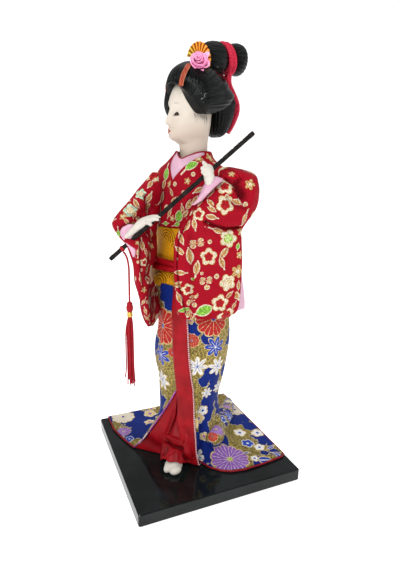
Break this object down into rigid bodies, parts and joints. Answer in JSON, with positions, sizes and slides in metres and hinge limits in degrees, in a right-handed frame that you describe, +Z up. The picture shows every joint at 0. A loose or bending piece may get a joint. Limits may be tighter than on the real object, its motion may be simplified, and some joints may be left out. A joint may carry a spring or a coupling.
{
  "type": "geisha doll",
  "caption": "Standing doll in a long-sleeved kimono with a trailing hem, holding a side flute with a hanging tassel, fixed on a square black lacquered plinth.",
  "frame": {"origin": "centre of the plinth's underside", "axes": "+Z up; the plinth's edges run along X and Y; the doll stands on the plinth's diagonal, its body faces the corner between -X and -Y, and its left hand side is towards +X and -Y"},
  "size_m": [0.1231, 0.12, 0.2986],
  "materials": {
    "black_lacquer": "polished black lacquer on a flat board",
    "white_gofun": "smooth matte cream-white",
    "red_brocade": "red figured brocade with a fine twill and metallic gold outlines",
    "skirt_brocade": "gold and royal blue figured brocade with metallic thread",
    "red_satin": "plain red satin",
    "pink_satin": "plain pink satin",
    "gold_brocade": "mustard gold brocade with dark brown arcs",
    "black_hair": "glossy combed black fibre",
    "red_cord": "matte red braided cord",
    "black_flute": "satin black paint",
    "gilt_thread": "bound metallic gold thread",
    "gold_fan": "stiff pleated gold fabric with red flecks",
    "ribbon_red": "stiff orange-red ribbon with gold flecks"
  },
  "bodies": {
    "root": {"base_plate": "black_lacquer", "skirt": "skirt_brocade", "front_facing": "red_satin", "skirt_lining": "red_satin", "left_foot": "white_gofun", "underskirt": "red_satin", "obi": "gold_brocade", "obi_cord": "red_satin", "obi_knot": "gold_brocade", "bodice": "red_brocade", "under_collar": "pink_satin", "left_sleeve": "red_brocade", "right_sleeve": "red_brocade", "left_inner_cuff": "pink_satin", "left_inner_drop": "pink_satin", "right_inner_cuff": "pink_satin", "right_hand": "white_gofun", "left_hand": "white_gofun", "flute": "black_flute", "flute_band": "red_cord", "tassel_cord": "red_cord", "tassel_head": "red_cord", "tassel_ring": "gilt_thread", "tassel_strands": "red_cord", "head": "white_gofun", "hair_cap": "black_hair", "nape_roll": "black_hair", "topknot": "black_hair", "topknot_cord": "red_cord", "hair_cord_tail_near": "red_cord", "hair_cord_tail_far": "red_cord", "hair_rose": "pink_satin", "hair_fan": "gold_fan", "hair_ribbon_near": "ribbon_red", "hair_ribbon_far": "ribbon_red"}
  },
  "joints": []
}
